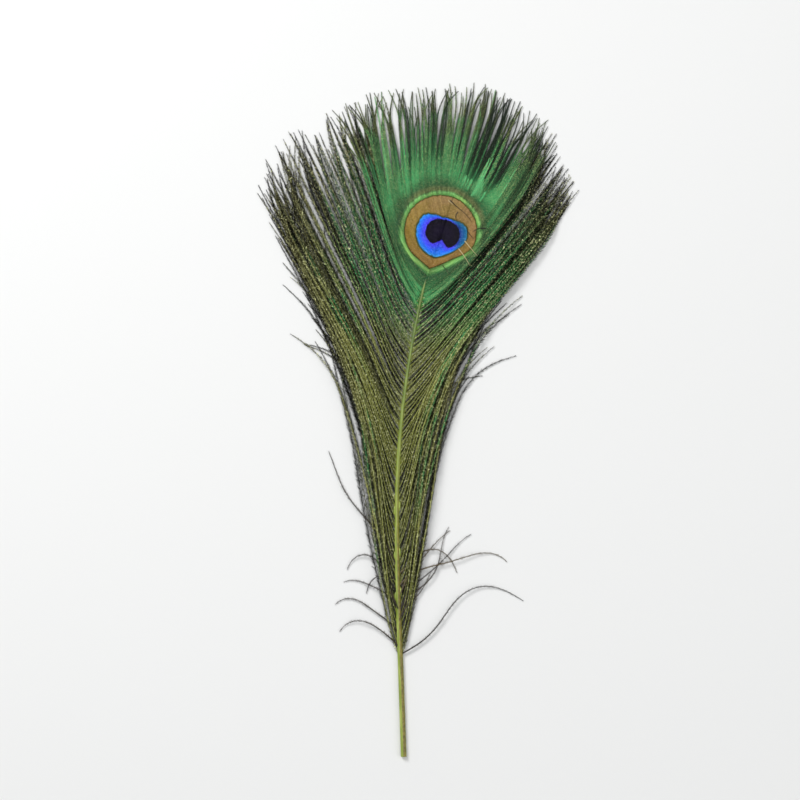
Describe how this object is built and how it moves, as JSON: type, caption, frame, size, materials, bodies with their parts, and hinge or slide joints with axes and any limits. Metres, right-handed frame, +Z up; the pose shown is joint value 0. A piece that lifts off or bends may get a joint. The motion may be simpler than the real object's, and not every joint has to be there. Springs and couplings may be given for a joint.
{
  "type": "peacock feather",
  "caption": "Peacock train feather with a tapering shaft, a round eyed vane and loose barbs that fan out, lying face up.",
  "frame": {"origin": "on the flat underside of the bare shaft, 20 mm up from its cut end, on the surface the feather lies on", "axes": "+Y runs from the cut end towards the tip, +X to the right as the eye is looked down on, +Z up, out of the face that shows the eye"},
  "size_m": [0.1343, 0.2837, 0.0057],
  "materials": {
    "barbs": "iridescent green to olive-bronze barbs, with a satin shine",
    "shaft": "smooth horny shaft, yellow-green with an olive-brown streak",
    "eye": "closed vane with a bronze disc, a blue field and an indigo heart, with a satin shine"
  },
  "bodies": {
    "root": {"feather": "barbs"}
  },
  "joints": []
}
